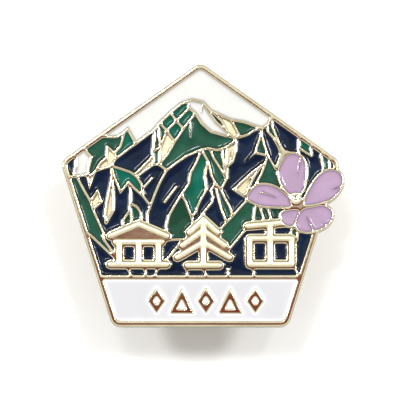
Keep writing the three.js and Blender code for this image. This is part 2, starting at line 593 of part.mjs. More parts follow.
// One wing: a jaw against the post, a bend through the barrel's slot and a finger tab.
const WING_PATH = [[POST_RADIUS + JAW_GAP, -1.9], [2.3, -1.9], [3.15, -2.5], [3.95, -4.1],
  [4.8, -6.2], [5.7, -7.0]]
function buildWing() {
  const outline = strip(WING_PATH, WING_SHEET)
  const nearest = POST_RADIUS + JAW_GAP
  const points = outline.map(([y, z]) => new THREE.Vector2(Math.max(y, nearest), z))
  const geometry = new THREE.ExtrudeGeometry(new THREE.Shape(points), {
    depth: WING_WIDTH, bevelEnabled: false })
  geometry.translate(0, 0, -WING_WIDTH / 2)
  geometry.applyMatrix4(new THREE.Matrix4().set(
    0, 0, 1, 0,
    1, 0, 0, 0,
    0, 1, 0, 0,
    0, 0, 0, 1))
  return toManifold(geometry)
}

// ---- assembly ----
function node(name, solid, look) {
  const mesh = new THREE.Mesh(toGeometry(solid), new THREE.MeshStandardMaterial(look))
  mesh.name = name
  return mesh
}

const group = new THREE.Group()
const { plate, recesses } = buildFace()
group.add(node('plate', plate, GOLD))
for (const { name, colour, recess } of recesses) {
  const drop = name === 'band' ? BAND_DROP : ENAMEL_DROP
  group.add(node(`enamel_${name}`, enamelFill(recess, drop), colour))
}

for (const [side, x] of [['left', -POST_X], ['right', POST_X]]) {
  const fastener = new THREE.Group()
  fastener.position.set(x, POST_Y, 0)
  fastener.add(node(`post_${side}`, buildPost(), GOLD))
  fastener.add(node(`clutch_shell_${side}`, buildClutchShell(), BRASS))
  const upper = node(`wing_upper_${side}`, buildWing(), BRASS)
  const lower = node(`wing_lower_${side}`, buildWing(), BRASS)
  lower.rotation.z = Math.PI
  fastener.add(upper, lower)
  group.add(fastener)
}

export default group
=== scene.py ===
# %% [markdown]
# A soft-enamel pin: a die-struck plate with raised gold lines, enamel poured between
# them, two posts and two butterfly clutches. The CAD frame holds every size and place.
# This script reads the outlines from the frame and makes the fine surfaces: rounded
# ridges of metal, enamel that climbs its walls, and stamped clutches.

# %% Load the frame
import json
import math
import bpy
import numpy as np
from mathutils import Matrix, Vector
from mathutils.geometry import delaunay_2d_cdt


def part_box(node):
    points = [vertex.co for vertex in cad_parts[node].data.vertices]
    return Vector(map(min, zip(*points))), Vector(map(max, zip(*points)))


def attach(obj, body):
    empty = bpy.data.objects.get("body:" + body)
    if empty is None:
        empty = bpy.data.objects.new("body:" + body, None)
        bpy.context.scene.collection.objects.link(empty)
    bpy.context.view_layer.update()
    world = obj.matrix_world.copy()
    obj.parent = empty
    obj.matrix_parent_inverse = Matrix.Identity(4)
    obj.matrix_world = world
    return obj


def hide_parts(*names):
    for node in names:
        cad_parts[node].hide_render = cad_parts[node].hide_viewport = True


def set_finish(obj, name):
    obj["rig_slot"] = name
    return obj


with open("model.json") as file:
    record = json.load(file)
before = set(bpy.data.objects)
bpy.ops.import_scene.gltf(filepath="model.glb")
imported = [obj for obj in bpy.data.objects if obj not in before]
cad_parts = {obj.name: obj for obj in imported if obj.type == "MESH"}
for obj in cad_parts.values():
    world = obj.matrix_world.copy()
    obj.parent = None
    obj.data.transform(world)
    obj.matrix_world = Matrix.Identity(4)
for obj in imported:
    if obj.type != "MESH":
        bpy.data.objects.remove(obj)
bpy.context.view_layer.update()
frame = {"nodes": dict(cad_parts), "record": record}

NODES = frame["nodes"]
SLOTS = {row["node"]: row["material_slot"] for row in frame["record"]["subparts"]}
MM = 0.001

# %% [markdown]
# The plate in the frame is loose triangles with flat steps. Each step has its own
# height: back, cell floor, bare facet, line top, badge stroke. Faces that look straight
# up at one height make a region, and the edges that only one such face uses are its outline.
# Corners that belong together are snapped to a fine grid first, SNAP steps to the millimetre.

# %% Read the steps of the plate
SNAP = 2000.0


def triangles(name):
    """A node's triangles as an array (n, 3, 3), in millimetres."""
    mesh = NODES[name].data
    mesh.calc_loop_triangles()
    points = np.empty(len(mesh.vertices) * 3)
    mesh.vertices.foreach_get("co", points)
    corners = np.empty(len(mesh.loop_triangles) * 3, dtype=np.int64)
    mesh.loop_triangles.foreach_get("vertices", corners)
    return points.reshape(-1, 3)[corners].reshape(-1, 3, 3) / MM


def facing(tris, up):
    """The triangles that lie level and look up (1) or down (-1)."""
    cross = np.cross(tris[:, 1] - tris[:, 0], tris[:, 2] - tris[:, 0])
    size = np.linalg.norm(cross, axis=1)
    return tris[(cross[:, 2] * up > 0.999 * size) & (size > 1e-9)]


def outlines(tris):
    """Closed outlines of a level region: each edge that one triangle uses leads to the next."""
    keys = np.round(tris[:, :, :2] * SNAP).astype(np.int64)
    flat = keys.reshape(-1, 2)
    spots, index = np.unique(flat, axis=0, return_inverse=True)
    index = index.reshape(-1, 3)
    edges = np.concatenate([index[:, [0, 1]], index[:, [1, 2]], index[:, [2, 0]]])
    code = edges[:, 0] * len(spots) + edges[:, 1]
    back = edges[:, 1] * len(spots) + edges[:, 0]
    rim = edges[~np.isin(code, back) & (edges[:, 0] != edges[:, 1])]
    following = {}
    for start, end in rim.tolist():
        following.setdefault(start, []).append(end)
    loops = []
    while following:
        start = next(iter(following))
        walk = [start]
        here = start
        while here in following:
            ends = following[here]
            step = ends.pop()
            if not ends:
                del following[here]
            here = step
            if here == start:
                break
            walk.append(here)
        loops.append(spots[walk] / SNAP)
    return loops


PLATE = triangles("plate")
UP = facing(PLATE, 1)
heights = np.unique(np.round(UP[:, 0, 2], 3))
print("heights of the plate's level faces", heights.tolist())
FLOOR_Z, FACET_Z, FACE_Z, STROKE_Z = heights.tolist()
step_faces = {z: UP[np.abs(UP[:, 0, 2] - z) < 0.01] for z in heights.tolist()}

# %% [markdown]
# A struck line has no knife edge, so every outline is softened before anything is built on it.
# Points are spread evenly along the loop, and a Gaussian average along its length rounds
# the corners. In the frequency domain that average is one multiplication.

# %% Soften the outlines
SPACING = 0.1
CORNER_SOFTNESS = 0.085
STROKE_SOFTNESS = 0.06
SILHOUETTE_SOFTNESS = 0.05


def softened(loop, width=CORNER_SOFTNESS):
    """A closed outline with even points, averaged along itself with weight exp(-s^2 / (2 width^2))."""
    closed = np.vstack([loop, loop[:1]])
    along = np.concatenate([[0], np.cumsum(np.linalg.norm(np.diff(closed, axis=0), axis=1))])
    count = max(14, int(round(along[-1] / SPACING)))
    at = np.arange(count) * along[-1] / count
    even = np.interp(at, along, closed[:, 0]) + 1j * np.interp(at, along, closed[:, 1])
    wave = np.fft.fftfreq(count, d=along[-1] / count)
    soft = np.fft.ifft(np.fft.fft(even) * np.exp(-2 * (math.pi * width * wave) ** 2))
    return np.stack([soft.real, soft.imag], axis=1)


print("corners rounded over", CORNER_SOFTNESS, "mm, badge strokes over", STROKE_SOFTNESS, "mm")

# %% [markdown]
# An outline that runs anticlockwise is the outer edge of a region, and a clockwise one is a
# hole in the smallest region around it. Two tests tell: the sign of the loop's area, and
# how many edges a line from a point crosses on its way out.

# %% Sort the outlines into regions
def signed_area(loop):
    """Half the sum of the cross products of neighbours: positive when the loop runs anticlockwise."""
    after = np.roll(loop, -1, axis=0)
    return 0.5 * np.sum(loop[:, 0] * after[:, 1] - loop[:, 1] * after[:, 0])


def inside(points, loops):
    """True for points that an odd number of outline edges pass to the right of."""
    result = np.zeros(len(points), dtype=bool)
    for loop in loops:
        low, high = loop.min(axis=0), loop.max(axis=0)
        near = np.nonzero(np.all((points >= low) & (points <= high), axis=1))[0]
        if not len(near):
            continue
        x, y = points[near, 0][:, None], points[near, 1][:, None]
        a, b = loop, np.roll(loop, -1, axis=0)
        spans = (a[:, 1] > y) != (b[:, 1] > y)
        rise = np.where(b[:, 1] == a[:, 1], 1.0, b[:, 1] - a[:, 1])
        crossing = a[:, 0] + (y - a[:, 1]) * (b[:, 0] - a[:, 0]) / rise
        result[near] ^= (np.sum(spans & (x < crossing), axis=1) % 2).astype(bool)
    return result


def regions(tris):
    """The separate areas of a level: each is a list of loops, its outer edge first and its holes after."""
    loops = [loop for loop in outlines(tris) if abs(signed_area(loop)) > 0.01]
    outer = [loop for loop in loops if signed_area(loop) > 0]
    found = [[loop] for loop in outer]
    for hole in (loop for loop in loops if signed_area(loop) < 0):
        around = [i for i, loop in enumerate(outer) if inside(hole[:1], [loop])[0]]
        found[min(around, key=lambda i: signed_area(outer[i]))].append(hole)
    return found


cells = [[softened(loop) for loop in region] for region in regions(step_faces[FLOOR_Z])]
facets = [[softened(loop) for loop in region] for region in regions(step_faces[FACET_Z])]
strokes = [[softened(loop, STROKE_SOFTNESS) for loop in region] for region in regions(step_faces[STROKE_Z])]
silhouette = max(outlines(facing(PLATE, -1)), key=len)
silhouette = softened(silhouette[::-1], SILHOUETTE_SOFTNESS)
print(len(cells), "cells,", len(facets), "bare facets,", len(strokes), "badge strokes")

# %% [markdown]
# The relief is a height that depends on how far a point is from the nearest outline. So
# the next tool finds that distance for many points at once. Points and outline are sorted
# into square tiles, and each tile only looks at the outline close to it.

# %% Distance to an outline
TILE = 2.0
REACH = 0.7


def edges_of(loops):
    """All outline edges as two arrays: their starts and their ends."""
    starts = np.vstack(loops)
    ends = np.vstack([np.roll(loop, -1, axis=0) for loop in loops])
    return starts, ends


def distance(points, loops):
    """Distance from each point to the nearest edge, no more than REACH.

    The foot of the perpendicular is start + share x run, with share held between 0 and 1.
    """
    starts, ends = edges_of(loops)
    result = np.full(len(points), REACH)
    tile = np.floor(points / TILE).astype(int)
    keys, which = np.unique(tile, axis=0, return_inverse=True)
    for number, key in enumerate(keys):
        here = np.nonzero(which.ravel() == number)[0]
        low, high = key * TILE - REACH, (key + 1) * TILE + REACH
        near = np.all((starts > low) & (starts < high), axis=1)
        if not near.any():
            continue
        a, run = starts[near], (ends - starts)[near]
        offset = points[here][:, None] - a
        share = np.clip((offset * run).sum(2) / np.maximum((run * run).sum(1), 1e-12), 0, 1)
        gap = np.linalg.norm(offset - share[..., None] * run, axis=2).min(axis=1)
        result[here] = np.minimum(gap, REACH)
    return result


print("longest distance worked out", REACH, "mm, in tiles of", TILE, "mm")

# %% [markdown]
# A remesh or a subdivision would round the outlines away or need millions of faces. So the
# points are chosen: loops moved sideways near the edges, and a honeycomb where
# nothing happens. A Delaunay net then joins them and keeps every outline as edges.

# %% Rings, a honeycomb and a net
def shifted(loop, by):
    """The outline moved to its left by a distance, along normals that its two neighbours give."""
    along = np.roll(loop, -1, axis=0) - np.roll(loop, 1, axis=0)
    along /= np.maximum(np.linalg.norm(along, axis=1, keepdims=True), 1e-9)
    return loop + by * np.stack([-along[:, 1], along[:, 0]], axis=1)


def honeycomb(low, high, pitch):
    """Points at the corners of even triangles over a rectangle: every other row is moved by half a step."""
    rows = np.arange(low[1], high[1], pitch * math.sqrt(0.75))
    columns = np.arange(low[0], high[0], pitch)
    x, y = np.meshgrid(columns, rows)
    x = x + (np.arange(len(rows)) % 2)[:, None] * pitch / 2
    return np.stack([x.ravel(), y.ravel()], axis=1)


WHOLE, WITH_HOLES = 1, 2
SAME_POINT = 1e-7


def triangulated(loops, extra, kind=WHOLE):
    """A Delaunay net through the loops and the extra points that keeps every outline edge.

    WHOLE ends at the outermost outline, WITH_HOLES leaves out what lies inside the others.
    """
    points = np.vstack(loops + [extra])
    edges = []
    start = 0
    for loop in loops:
        ring = np.arange(start, start + len(loop))
        edges.append(np.stack([ring, np.roll(ring, -1)], axis=1))
        start += len(loop)
    net = delaunay_2d_cdt(points.tolist(), np.vstack(edges).tolist(), [], kind, SAME_POINT)
    return np.array([tuple(spot) for spot in net[0]]), np.array(net[2])


print("outline edges to keep", len(edges_of([loop for region in cells for loop in region])[0]))


# %% [markdown]
# The plate was struck in one blow, so its lines and rim have rounded edges and its cell
# floors are flat. A net of triangles through the outlines lets those edges stay true. Rings of
# points close to each outline carry the rounding, and a honeycomb fills the wide places.

# %% The relief of the struck plate
LINE_ROUNDING = 0.15
LINE_DROP = 0.10
RIM_ROUNDING = 0.21
RIM_DROP = 0.18
STROKE_RISE = STROKE_Z - FACE_Z
STROKE_HALF = 0.31
HEART = np.array([9.5, 0.95])
HEART_RING, HEART_REACH = 0.42, 0.95
KNOB_WIDTH, KNOB_WAVE = 0.17, 0.28
walls = [loop for region in cells + facets for loop in region]
stroke_edges = [loop for region in strokes for loop in region]


def rounding(gap, width, drop):
    """Drop of an elliptical edge: drop x (1 - sqrt(1 - (1 - d/width)^2)) within the width, and none beyond."""
    share = np.clip(1 - gap / width, 0, 1)
    return drop * (1 - np.sqrt(np.maximum(1 - share**2, 0)))


def dome(gap, half):
    """Height of a rounded bar as a share of its rise: sqrt(1 - (1 - d/h)^2), full beyond h."""
    share = np.clip(gap / half, 0, 1)
    return np.sqrt(np.maximum(1 - (1 - share) ** 2, 0))


def heart(points):
    """The flower's heart: five knobs in a ring, height x exp(-((r - r0) / w)^2) x a wave of five."""
    away = points - HEART
    r, turn = np.hypot(away[:, 0], away[:, 1]), np.arctan2(away[:, 1], away[:, 0])
    ring = np.exp(-(((r - HEART_RING) / KNOB_WIDTH) ** 2)) * (1 - KNOB_WAVE + KNOB_WAVE * np.cos(5 * turn + 0.6))
    return STROKE_RISE * np.where(r < HEART_REACH, ring, 0)


def relief(points):
    """Height of the metal: the face, less the rounding of lines and rim, plus badge strokes and heart."""
    height = FACE_Z - rounding(distance(points, walls), LINE_ROUNDING, LINE_DROP)
    height = np.minimum(height, FACE_Z - rounding(distance(points, [silhouette]), RIM_ROUNDING, RIM_DROP))
    on_stroke = inside(points, stroke_edges)
    lift = dome(distance(points, stroke_edges), STROKE_HALF) * STROKE_RISE
    return height + np.where(on_stroke, lift, 0) + heart(points)


print("lines drop", LINE_DROP, "mm at their edges, the rim drops", RIM_DROP, "mm")

# %% [markdown]
# Rings stand at the distances where the height bends most. A ring that has crossed to the
# far side of a thin line is closer to that line's other wall than it should be, and is dropped.
# The flower's heart has a denser honeycomb of its own, because its knobs are small.

# %% Net the face
WALL_RINGS = (0.02, 0.05, 0.085, 0.13)
RIM_RINGS = (0.02, 0.05, 0.1, 0.16, 0.22, 0.28)
STROKE_RINGS = (0.03, 0.08, 0.15, 0.23)
FILL_PITCH, KNOB_PITCH = 0.2, 0.08
FILL_GAP, KNOB_GAP, STROKE_GAP = 0.17, 0.15, 0.05
near_wall = np.vstack([shifted(loop, -step) for loop in walls for step in WALL_RINGS])
wanted = np.concatenate([[step] * len(loop) for loop in walls for step in WALL_RINGS])
near_wall = near_wall[distance(near_wall, walls) > wanted - 0.004]
near_rim = np.vstack([shifted(silhouette, step) for step in RIM_RINGS])
near_stroke = np.vstack([shifted(loop, step) for loop in stroke_edges for step in STROKE_RINGS])
knobs = honeycomb(HEART - 1.0, HEART + 1.0, KNOB_PITCH)
knobs = knobs[distance(knobs, walls) > KNOB_GAP]
fill = honeycomb(silhouette.min(axis=0), silhouette.max(axis=0), FILL_PITCH)
fill = fill[(distance(fill, walls) > FILL_GAP) & (distance(fill, stroke_edges + [silhouette]) > STROKE_GAP)]
extra = np.vstack([near_wall, near_rim, near_stroke, knobs, fill])
extra = extra[inside(extra, [silhouette]) & ~inside(extra, walls)]
points, faces = triangulated([silhouette] + walls + stroke_edges, extra)
middle = points[faces].mean(axis=1)
in_cell = inside(middle, [loop for region in cells for loop in region])
in_facet = inside(middle, [loop for region in facets for loop in region])
print(len(points), "points,", len(faces), "triangles on the face")

# %% [markdown]
# The same net also gives the floors. Where a triangle lies in a cell, its corners go down
# to the floor, and a wall closes the gap along each outline. The sides and the back are
# rings carried down from the outer edge, so that the plate is one closed skin.

# %% Build the plate
SHARP = math.radians(48)
SIDE_ROWS = ((0.0, 1.1), (0.0, 0.16), (0.03, 0.05), (0.11, 0.0))
BACK_PITCH, BACK_MARGIN = 1.0, 0.3


def new_mesh(name, points_mm, polygons):
    """A mesh object at the origin from points in millimetres, smooth where faces meet gently."""
    mesh = bpy.data.meshes.new(name)
    mesh.from_pydata((points_mm * MM).tolist(), [], polygons)
    mesh.validate()
    mesh.shade_smooth()
    mesh.set_sharp_from_angle(angle=SHARP)
    piece = bpy.data.objects.new(name, mesh)
    bpy.context.scene.collection.objects.link(piece)
    return piece


def directed_rim(tris):
    """Edges that only one triangle uses, in that triangle's direction."""
    pairs = np.concatenate([tris[:, [0, 1]], tris[:, [1, 2]], tris[:, [2, 0]]])
    top = int(pairs.max()) + 1
    alone = ~np.isin(pairs[:, 0] * top + pairs[:, 1], pairs[:, 1] * top + pairs[:, 0])
    return pairs[alone]


def band_faces(upper, lower):
    """Triangles between two closed rows of points that run anticlockwise, the lower row below."""
    a, b = upper, np.roll(upper, -1)
    c, d = lower, np.roll(lower, -1)
    return np.vstack([np.column_stack([a, c, d]), np.column_stack([a, d, b])])


def plate_skin():
    """Face, floors and walls share one net: a floor is the same triangle set lower, and walls join the two.

    Each side row is the outer edge moved in by its first number, at the height of its second.
    """
    count = len(points)
    cell, facet = faces[in_cell], faces[in_facet]
    flat = [np.full(count, level) for level in (FLOOR_Z, FACET_Z)]
    layers = [np.column_stack([points, height]) for height in (relief(points), *flat)]
    skin = [faces[~in_cell & ~in_facet], cell + count, facet + 2 * count]
    for part, base in ((cell, count), (facet, 2 * count)):
        rim = directed_rim(part)
        low = rim + base
        skin.append(np.column_stack([low[:, 1], low[:, 0], rim[:, 0]]))
        skin.append(np.column_stack([low[:, 1], rim[:, 0], rim[:, 1]]))
    edge = np.unique(directed_rim(faces))
    gap = np.linalg.norm(points[edge][None] - silhouette[:, None], axis=2)
    row = edge[gap.argmin(axis=1)]
    total = 3 * count
    for inset, level in SIDE_ROWS:
        loop = shifted(silhouette, inset)
        layers.append(np.column_stack([loop, np.full(len(loop), level)]))
        next_row = total + np.arange(len(loop))
        skin.append(band_faces(row, next_row))
        row, total = next_row, total + len(loop)
    inner = honeycomb(loop.min(axis=0), loop.max(axis=0), BACK_PITCH)
    inner = inner[inside(inner, [shifted(loop, BACK_MARGIN)])]
    back, back_faces = triangulated([loop], inner)
    layers.append(np.column_stack([back[len(loop):], np.zeros(len(back) - len(loop))]))
    spot = np.concatenate([row, total + np.arange(len(back) - len(loop))])
    skin.append(spot[back_faces][:, ::-1])
    return np.vstack(layers), np.vstack(skin)


skin_points, skin_faces = plate_skin()
used, renumbered = np.unique(skin_faces, return_inverse=True)
plate = new_mesh("plate_struck", skin_points[used], renumbered.reshape(-1, 3).tolist())
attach(plate, "badge")
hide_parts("plate")
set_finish(plate, "gold_plating")
print("plate:", len(plate.data.vertices), "points,", len(plate.data.polygons), "faces")

# %% [markdown]
# Enamel is poured a little short of the lines and climbs their walls as it cures, so each pour
# is a shallow dish. It also settles unevenly, which bends the reflections. The height is
# the pour's level, plus a rise that fades away from the wall, plus a slow waviness.

# %% Pour one cell of enamel
CLIMB_STEEP, CLIMB_SLOW = 0.07, 0.32
CLIMB_TOP = 1.54
POUR_BOTTOM = FLOOR_Z + 0.02
# Reach of the painted shade along the walls, and of the band's painted highlight.
PAINTED_WALL_LIGHT_REACH = 0.11
WAVE_HEIGHT = 0.005
WETTING = 0.012
POUR_RINGS = (0.03, 0.07, 0.12, 0.19, 0.27, 0.36)
POUR_GAP = 0.42


def settled(points, level):
    """Height of cured enamel: level + climb x (0.45 exp(-d / steep) + 0.55 exp(-d / slow)) + slow sine waves."""
    gap = distance(points, walls)
    x, y = points[:, 0], points[:, 1]
    waves = np.sin(2.1 * x + 1.3 * y + 0.7) + np.sin(-1.2 * x + 2.6 * y) + np.sin(3.1 * x - 2.2 * y + 2.0)
    middle_share = 1 - np.exp(-gap / 0.2)
    climb = 0.45 * np.exp(-gap / CLIMB_STEEP) + 0.55 * np.exp(-gap / CLIMB_SLOW)
    return level + (CLIMB_TOP - level) * climb + WAVE_HEIGHT * waves * middle_share


def pour(name, region, level):
    """A closed dish of enamel that fills one region of the plate and wets its walls."""
    loops = [shifted(loop, -WETTING) for loop in region]
    rings = np.vstack([shifted(loop, step) for loop in region for step in POUR_RINGS])
    steps = np.concatenate([[step] * len(loop) for loop in region for step in POUR_RINGS])
    rings = rings[distance(rings, region) > steps - 0.005]
    fill = honeycomb(region[0].min(axis=0), region[0].max(axis=0), FILL_PITCH)
    fill = fill[distance(fill, region) > POUR_GAP]
    extra = np.vstack([rings, fill])
    extra = extra[inside(extra, region)]
    net, tris = triangulated(loops, extra, WITH_HOLES)
    count = len(net)
    top = np.column_stack([net, settled(net, level)])
    bottom = np.column_stack([net, np.full(count, POUR_BOTTOM)])
    rim = directed_rim(tris)
    low = rim + count
    near_side = np.column_stack([rim[:, 0], low[:, 0], low[:, 1]])
    far_side = np.column_stack([rim[:, 0], low[:, 1], rim[:, 1]])
    skin = np.vstack([tris, tris[:, ::-1] + count, near_side, far_side])
    used, renumbered = np.unique(skin, return_inverse=True)
    dish = new_mesh(name, np.vstack([top, bottom])[used], renumbered.reshape(-1, 3).tolist())
    # Weights for the painted shade along the walls and for the band's painted highlight: 1 at a wall, fading away
    # from it.
    nearness = np.exp(-distance(net, walls) / PAINTED_WALL_LIGHT_REACH)
    wall_light_weights = dish.data.attributes.new("wall_nearness", "FLOAT", "POINT")
    wall_light_weights.data.foreach_set("value", np.concatenate([nearness, nearness])[used].astype(np.float32))
    return dish


print("enamel stands", round(CLIMB_TOP - FLOOR_Z, 2), "mm above the floor where it meets a wall")

# %% [markdown]
# The frame already has a flat fill for each large cell, and its finish. The middle of a fill's
# largest triangle is sure to lie in its cell, so that point finds the outline to pour into.

# %% Fill the cells that the frame names
def middle_of_largest(tris):
    """The middle of the triangle whose cross product of two sides is the largest."""
    along, across = tris[:, 1, :2] - tris[:, 0, :2], tris[:, 2, :2] - tris[:, 0, :2]
    size = np.abs(along[:, 0] * across[:, 1] - along[:, 1] * across[:, 0])
    return tris[np.argmax(size), :, :2].mean(axis=0)


pours = {}
free_cells = list(range(len(cells)))
for node in [name for name in NODES if name.startswith("enamel_")]:
    lid = facing(triangles(node), 1)
    spot = middle_of_largest(lid)[None]
    found = [i for i in free_cells if inside(spot, cells[i])[0]]
    if not found:
        print("no cell for", node)
        continue
    free_cells.remove(found[0])
    piece = pour(node.replace("enamel", "pour"), cells[found[0]], lid[:, 0, 2].max())
    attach(piece, "badge")
    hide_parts(node)
    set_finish(piece, SLOTS[node])
    pours[piece.name] = piece
print(len(pours), "pours,", len(free_cells), "small cells left")

# %% [markdown]
# Windows, slits and gaps between lines hold a drop of enamel each. They are too small to
# be parts of their own in the frame, and they ride with the plate. Most are navy, a few in the
# gorge are dark green, and those inside the ornaments of the band are white.

# %% Fill the small cells
SMALL_GREENS = {
    "enamel_shade_green": np.array([(5.8, -0.8), (6.5, -0.7), (7.6, -0.6), (1.7, 8.9)]),
    "enamel_deep_green": np.array([(9.4, -2.6)]),
}
BAND_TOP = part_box("enamel_band")[1].y / MM


def small_cell_slot(spot):
    """The finish of a small cell: a listed green within half a millimetre, band white low down, or navy."""
    for slot, listed in SMALL_GREENS.items():
        if np.linalg.norm(listed - spot, axis=1).min() < 0.5:
            return slot
    return "enamel_band" if spot[1] < BAND_TOP else "enamel_navy"


for number, region in enumerate([cells[index] for index in free_cells], start=1):
    piece = pour(f"drop_{number:02d}", region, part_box("enamel_sky")[1].z / MM)
    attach(piece, "badge")
    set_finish(piece, small_cell_slot(region[0].mean(axis=0)))
    pours[piece.name] = piece
print(len(free_cells), "drops,", sum(len(p.data.polygons) for p in pours.values()), "enamel faces in all")

# %% [markdown]
# The hardware on the back is turned, stamped and bent. A turned part is a profile carried
# round an axis, and a bent strip is a path carried across a width, so both are grids of points.
# Real tools leave no knife edges, so every profile and path is eased before it is carried.

# %% Profiles and grids
def eased(path, spacing, width):
    """An open path with even points, averaged along itself; its ends stay where they are."""
    path = np.array(path, dtype=float)
    along = np.concatenate([[0], np.cumsum(np.linalg.norm(np.diff(path, axis=0), axis=1))])
    count = int(round(along[-1] / spacing)) + 1
    at = np.linspace(0, along[-1], count)
    even = np.stack([np.interp(at, along, path[:, k]) for k in (0, 1)], axis=1)
    weight = np.exp(-((at[:, None] - at[None]) ** 2) / (2 * width**2))
    room = np.minimum(at, along[-1] - at)[:, None] / (2 * width)
    soft = weight @ even / weight.sum(axis=1, keepdims=True)
    share = np.clip(room, 0, 1)
    return even * (1 - share) + soft * share


def grid_faces(rows, columns, wrap=True):
    """Quads between neighbouring points of a grid stored row by row; wrap joins the last column to the first."""
    r, c = np.meshgrid(np.arange(rows - 1), np.arange(columns if wrap else columns - 1), indexing="ij")
    a, b = r * columns + c, r * columns + (c + 1) % columns
    return np.stack([a, a + columns, b + columns, b], axis=-1).reshape(-1, 4)


def turned(profile, centre, sides):
    """Points (centre + r cos t, centre + r sin t, z) for every profile point (r, z) and angle t."""
    turn = np.arange(sides) * 2 * math.pi / sides
    r, z = profile[:, 0][:, None], profile[:, 1][:, None]
    grid = [centre[0] + r * np.cos(turn), centre[1] + r * np.sin(turn), z + 0 * turn]
    return np.stack(grid, axis=-1).reshape(-1, 3)


def turned_solid(name, profile, centre, sides):
    """A turned part whose profile starts and ends on the axis, where fans of triangles close it."""
    body = turned(profile[1:-1], centre, sides)
    poles = np.array([[*centre, profile[0, 1]], [*centre, profile[-1, 1]]])
    rows = len(profile) - 2
    ring = np.arange(sides)
    after = (ring + 1) % sides
    top, bottom = len(body), len(body) + 1
    last = (rows - 1) * sides
    faces = grid_faces(rows, sides).tolist()
    faces += np.column_stack([np.full(sides, top), ring, after]).tolist()
    faces += np.column_stack([np.full(sides, bottom), after + last, ring + last]).tolist()
    return new_mesh(name, np.vstack([body, poles]), faces)


print("a quad grid of 3 x 4 points has", len(grid_faces(3, 4, wrap=False)), "faces, wrapped", len(grid_faces(3, 4)))

# %% [markdown]
# The posts are turned brass pins, soldered to the back on a small flange. A notch near the
# point gives the clutch's jaws something to bite. The profile runs from the flange's middle
# down to the point, so both of its ends lie on the axis and the solid closes itself.

# %% Turn the posts
POST_BOXES = {side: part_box(f"post_{side}") for side in ("left", "right")}
POST_CENTRES = {side: np.array((low + high)[:2]) / 2 / MM for side, (low, high) in POST_BOXES.items()}
POST_TIP_Z = POST_BOXES["left"][0].z / MM
POST_R = 0.575
NOTCH_R = 0.74 * POST_R
FLANGE_R = (POST_BOXES["left"][1].x - POST_BOXES["left"][0].x) / 2 / MM
POST_SIDES = 48
post_profile = eased([
    (0, 0), (FLANGE_R - 0.02, 0), (FLANGE_R - 0.01, -0.14), (1.2, -0.24), (0.75, -0.3), (POST_R, -0.5),
    (POST_R, -4.95), (NOTCH_R, -5.15), (NOTCH_R, -5.4), (POST_R, -5.6),
    (0.3, POST_TIP_Z + 0.45), (0, POST_TIP_Z)], spacing=0.07, width=0.05)
for side, centre in POST_CENTRES.items():
    post = turned_solid(f"post_{side}_turned", post_profile, centre, POST_SIDES)
    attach(post, "badge")
    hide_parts(f"post_{side}")
    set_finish(post, "gold_plating")
print("posts stand", round(abs(POST_TIP_Z), 2), "mm from the back")
print("post centres", {side: centre.round(2).tolist() for side, centre in POST_CENTRES.items()})

# %% [markdown]
# A butterfly clutch is stamped from thin brass: a dished disc with a rolled rim lies against
# the cloth, and a short barrel under it holds two wings. Each is one sheet, so a surface without
# thickness comes first, the slots are left out of it, and Solidify gives it its gauge.

# %% Stamp the clutch shells
SHEET = 0.3
DISC_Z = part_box("clutch_shell_left")[1].z / MM - SHEET / 2 - 0.01
FOOT_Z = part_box("clutch_shell_left")[0].z / MM + SHEET / 2 + 0.01
DISC_R = (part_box("clutch_shell_left")[1].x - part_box("clutch_shell_left")[0].x) / 2 / MM - SHEET / 2
BARREL_R = 2.95 - SHEET / 2 - 0.01
SLOT_HALF = 1.85
SHELL_SIDES = 96
disc_profile = eased([
    (0.95, DISC_Z - 0.1), (1.4, DISC_Z - 0.1), (1.9, DISC_Z), (3.2, DISC_Z), (3.6, DISC_Z - 0.08),
    (4.0, DISC_Z), (DISC_R - 0.45, DISC_Z), (DISC_R - 0.08, DISC_Z - 0.12), (DISC_R, DISC_Z - 0.42),
    (DISC_R - 0.25, DISC_Z - 0.56)], spacing=0.09, width=0.1)
barrel_profile = eased([
    (BARREL_R + 0.45, DISC_Z - 0.3), (BARREL_R + 0.12, DISC_Z - 0.36), (BARREL_R, DISC_Z - 0.6),
    (BARREL_R, FOOT_Z + 0.45), (BARREL_R - 0.16, FOOT_Z + 0.12), (BARREL_R - 0.5, FOOT_Z), (1.6, FOOT_Z),
    (1.3, FOOT_Z + 0.08), (0.95, FOOT_Z + 0.08)], spacing=0.09, width=0.12)


def sheet_metal(name, points_mm, quads, thickness):
    """A surface that Solidify gives its gauge, half to either side."""
    piece = new_mesh(name, points_mm, quads.tolist())
    gauge = piece.modifiers.new("gauge", "SOLIDIFY")
    gauge.thickness = thickness * MM
    gauge.offset = 0
    return piece


def clutch_shell(side, centre):
    """Disc and barrel as two turned sheets, without the barrel's faces in the two slots towards +Y and -Y."""
    disc, barrel = [turned(profile, centre, SHELL_SIDES) for profile in (disc_profile, barrel_profile)]
    disc_faces, barrel_faces = [grid_faces(len(p), SHELL_SIDES) for p in (disc_profile, barrel_profile)]
    middle = barrel[barrel_faces].mean(axis=1) - [*centre, 0]
    in_slot = (np.abs(middle[:, 0]) < SLOT_HALF) & (np.hypot(middle[:, 0], middle[:, 1]) > BARREL_R - 0.35)
    in_slot &= (middle[:, 2] > FOOT_Z + 0.35) & (middle[:, 2] < DISC_Z + 1)
    faces = np.vstack([disc_faces, barrel_faces[~in_slot] + len(disc)])
    used, renumbered = np.unique(faces, return_inverse=True)
    shell_points = np.vstack([disc, barrel])[used]
    return sheet_metal(f"clutch_{side}_stamped", shell_points, renumbered.reshape(-1, 4), SHEET)


for side, centre in POST_CENTRES.items():
    shell = clutch_shell(side, centre)
    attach(shell, f"clutch_{side}")
    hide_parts(f"clutch_shell_{side}")
    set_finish(shell, "clutch_brass")
print("clutch discs", round(2 * DISC_R + SHEET, 2), "mm across")

# %% [markdown]
# The wings are flat springs. Their jaws lie either side of the post, and their tabs reach out
# of the barrel's slots for finger and thumb. Each is a strip: a bent path across the post,
# by a width that narrows to a rounded tab.

